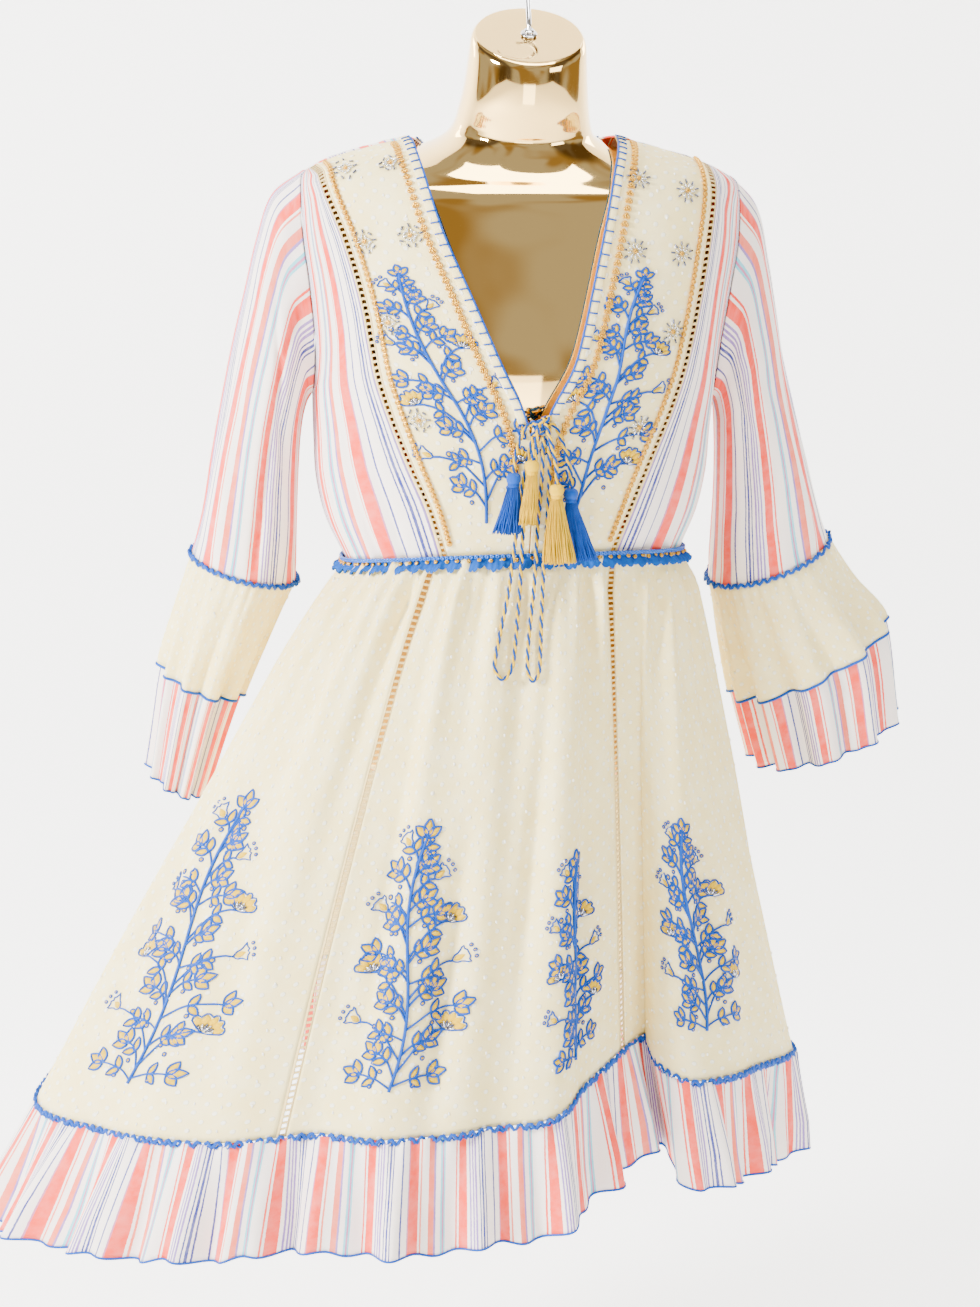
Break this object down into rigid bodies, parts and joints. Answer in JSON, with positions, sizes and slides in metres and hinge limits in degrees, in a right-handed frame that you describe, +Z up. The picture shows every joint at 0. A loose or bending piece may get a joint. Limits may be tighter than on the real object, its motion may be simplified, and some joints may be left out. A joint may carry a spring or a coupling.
{
  "type": "mini dress on a hanging dress form",
  "caption": "Boho V-neck mini dress with striped side panels, flounced sleeves, embroidered cream skirt and tasselled tie, on a limbless torso form that hangs from a hook.",
  "frame": {"origin": "inner top of the hook, where the rail or peg that holds the form touches it", "axes": "+Z up; the dress faces -Y; +X is to the right of someone facing the dress"},
  "size_m": [0.8193, 0.5569, 1.0901],
  "materials": {
    "cream_cotton": "dotted woven cotton, matt",
    "striped_cotton": "striped woven cotton, matt",
    "ladder_trim": "openwork cotton insertion",
    "neck_binding": "white cotton binding with blue blanket stitch",
    "blue_edging": "beaded thread edging",
    "tie_cord": "twisted two-strand cotton cord",
    "blue_thread": "silky thread",
    "yellow_thread": "silky thread",
    "gold_form": "mirror gold plating on moulded plastic",
    "chrome_hook": "polished"
  },
  "bodies": {
    "root": {"yoke_left": "cream_cotton", "yoke_right": "cream_cotton", "skirt_front_left": "cream_cotton", "skirt_front": "cream_cotton", "skirt_front_right": "cream_cotton", "skirt_back": "cream_cotton", "cuff_flounce_left": "cream_cotton", "cuff_flounce_right": "cream_cotton", "side_front_left": "striped_cotton", "side_front_right": "striped_cotton", "bodice_back": "striped_cotton", "sleeve_left": "striped_cotton", "sleeve_right": "striped_cotton", "cuff_frill_left": "striped_cotton", "cuff_frill_right": "striped_cotton", "hem_ruffle": "striped_cotton", "bodice_ladder_left": "ladder_trim", "bodice_ladder_right": "ladder_trim", "skirt_ladder_left": "ladder_trim", "skirt_ladder_right": "ladder_trim", "neck_binding_left": "neck_binding", "neck_binding_right": "neck_binding", "neck_binding_back": "neck_binding", "waist_trim": "blue_edging", "tie_knot": "tie_cord", "tie_loop_left": "tie_cord", "tie_loop_right": "tie_cord", "tie_end_1": "tie_cord", "tie_end_2": "tie_cord", "tie_end_3": "tie_cord", "tie_end_4": "tie_cord", "tassel_blue_left": "blue_thread", "tassel_blue_right": "blue_thread", "tassel_yellow_left": "yellow_thread", "tassel_yellow_right": "yellow_thread", "form": "gold_form", "form_hook": "chrome_hook"}
  },
  "joints": []
}
